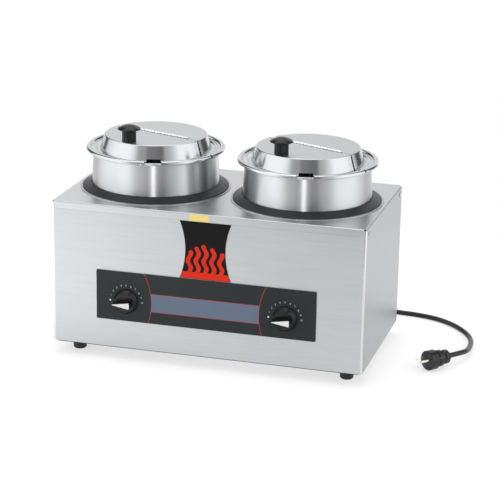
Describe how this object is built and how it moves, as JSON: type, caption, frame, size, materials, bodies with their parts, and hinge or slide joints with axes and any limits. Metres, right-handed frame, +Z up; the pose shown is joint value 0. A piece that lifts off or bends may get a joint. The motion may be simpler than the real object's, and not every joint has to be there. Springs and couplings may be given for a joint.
{
  "type": "countertop rethermalizer",
  "caption": "Stainless countertop rethermalizer: round wet wells side by side, lift-out insets under hinged notched lids, front dials and a mains lead.",
  "frame": {"origin": "on the counter, under the middle of the footprint of the cabinet with its dials", "axes": "+X to the right along the front, +Y to the back, +Z up"},
  "size_m": [0.6921, 0.4475, 0.3951],
  "materials": {
    "cabinet_steel": "brushed stainless steel",
    "plain_steel": "mill-finish stainless steel",
    "polished_steel": "polished stainless steel",
    "fastener_steel": "plain steel",
    "element_sheath": "oxidised metal sheath",
    "ring_polymer": "satin black",
    "foot_polymer": "matt black",
    "knob_polymer": "semi-gloss black",
    "inlay_polymer": "satin white",
    "panel_coating": "charcoal overlay",
    "badge_coating": "black and red print",
    "housing_polymer": "moulded",
    "cord_jacket": "satin black",
    "tie_polymer": "satin black",
    "plug_brass": "bright"
  },
  "bodies": {
    "cabinet": {"base_pan": "plain_steel", "centre_badge": "badge_coating", "coil_tie": "tie_polymer", "control_panel": "panel_coating", "cord_coil": "cord_jacket", "cord_from_gland": "cord_jacket", "cord_to_plug": "cord_jacket", "foot_front_left": "foot_polymer", "foot_front_right": "foot_polymer", "foot_rear_left": "foot_polymer", "foot_rear_right": "foot_polymer", "foot_screws": "fastener_steel", "front_panel": "cabinet_steel", "left_heater_clamp": "plain_steel", "left_heating_element": "element_sheath", "left_side_panel": "cabinet_steel", "left_thermostat": "housing_polymer", "left_well": "plain_steel", "left_well_ring": "ring_polymer", "plug_blades": "plug_brass", "plug_body": "cord_jacket", "plug_ground_pin": "plug_brass", "rear_panel": "cabinet_steel", "right_heater_clamp": "plain_steel", "right_heating_element": "element_sheath", "right_side_panel": "cabinet_steel", "right_thermostat": "housing_polymer", "right_well": "plain_steel", "right_well_ring": "ring_polymer", "side_screws": "fastener_steel", "strain_relief": "cord_jacket", "terminal_block": "housing_polymer", "thermostat_nuts": "fastener_steel", "top_deck": "cabinet_steel"},
    "left_pot": {"left_inset": "polished_steel"},
    "left_lid": {"left_lid_rear": "polished_steel", "left_hinge_pin": "fastener_steel"},
    "left_flap": {"left_lid_flap": "polished_steel", "left_lid_knob": "knob_polymer", "left_lid_knob_screw": "fastener_steel"},
    "left_dial": {"left_control_knob": "knob_polymer", "left_pointer_inlay": "inlay_polymer", "left_thermostat_shaft": "fastener_steel"},
    "right_pot": {"right_inset": "polished_steel"},
    "right_lid": {"right_lid_rear": "polished_steel", "right_hinge_pin": "fastener_steel"},
    "right_flap": {"right_lid_flap": "polished_steel", "right_lid_knob": "knob_polymer", "right_lid_knob_screw": "fastener_steel"},
    "right_dial": {"right_control_knob": "knob_polymer", "right_pointer_inlay": "inlay_polymer", "right_thermostat_shaft": "fastener_steel"}
  },
  "joints": [
    {"name": "left_pot_lift", "type": "slide", "parent": "cabinet", "child": "left_pot", "axis": [0, 0, 1], "range_m": [0, 0.17]},
    {"name": "left_lid_lift", "type": "slide", "parent": "left_pot", "child": "left_lid", "axis": [0, 0, 1], "range_m": [0, 0.08]},
    {"name": "left_flap_hinge", "type": "hinge", "parent": "left_lid", "child": "left_flap", "pos_m": [-0.13447, 0.01882, 0.3667], "axis": [-0.9397, 0.342, 0], "range_deg": [0, 150]},
    {"name": "left_dial_turn", "type": "hinge", "parent": "cabinet", "child": "left_dial", "pos_m": [-0.139, -0.1326, 0.1074], "axis": [0, 1, 0], "range_deg": [0, 180]},
    {"name": "right_pot_lift", "type": "slide", "parent": "cabinet", "child": "right_pot", "axis": [0, 0, 1], "range_m": [0, 0.17]},
    {"name": "right_lid_lift", "type": "slide", "parent": "right_pot", "child": "right_lid", "axis": [0, 0, 1], "range_m": [0, 0.08]},
    {"name": "right_flap_hinge", "type": "hinge", "parent": "right_lid", "child": "right_flap", "pos_m": [0.13672, 0.01874, 0.3667], "axis": [-0.9135, 0.4067, 0], "range_deg": [0, 150]},
    {"name": "right_dial_turn", "type": "hinge", "parent": "cabinet", "child": "right_dial", "pos_m": [0.139, -0.1326, 0.1074], "axis": [0, 1, 0], "range_deg": [0, 180]}
  ]
}
